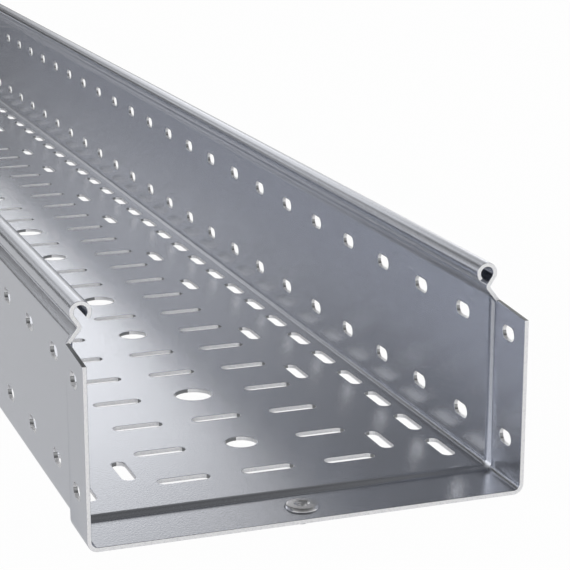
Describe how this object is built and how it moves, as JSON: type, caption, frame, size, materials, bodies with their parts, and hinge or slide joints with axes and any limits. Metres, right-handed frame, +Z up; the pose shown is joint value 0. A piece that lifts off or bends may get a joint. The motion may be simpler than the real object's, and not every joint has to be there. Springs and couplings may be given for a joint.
{
  "type": "perforated cable tray",
  "caption": "Straight length of perforated sheet-steel cable tray: U section with rolled top beads, a stepped socket at one end and a plain end to fit the next tray.",
  "frame": {"origin": "under the middle of the tray, at the level of its lowest point, the tip of the fixing screw", "axes": "+Y along the tray from the socket end to the plain end, +X across it, +Z up out of its open top"},
  "size_m": [0.2092, 2.0334, 0.1108],
  "materials": {
    "galvanised_sheet": "bright galvanised, fine speckle and scratches",
    "zinc_plated_screw": "bright zinc plated"
  },
  "bodies": {
    "root": {"cable_tray": "galvanised_sheet", "fixing_screw": "zinc_plated_screw"}
  },
  "joints": []
}
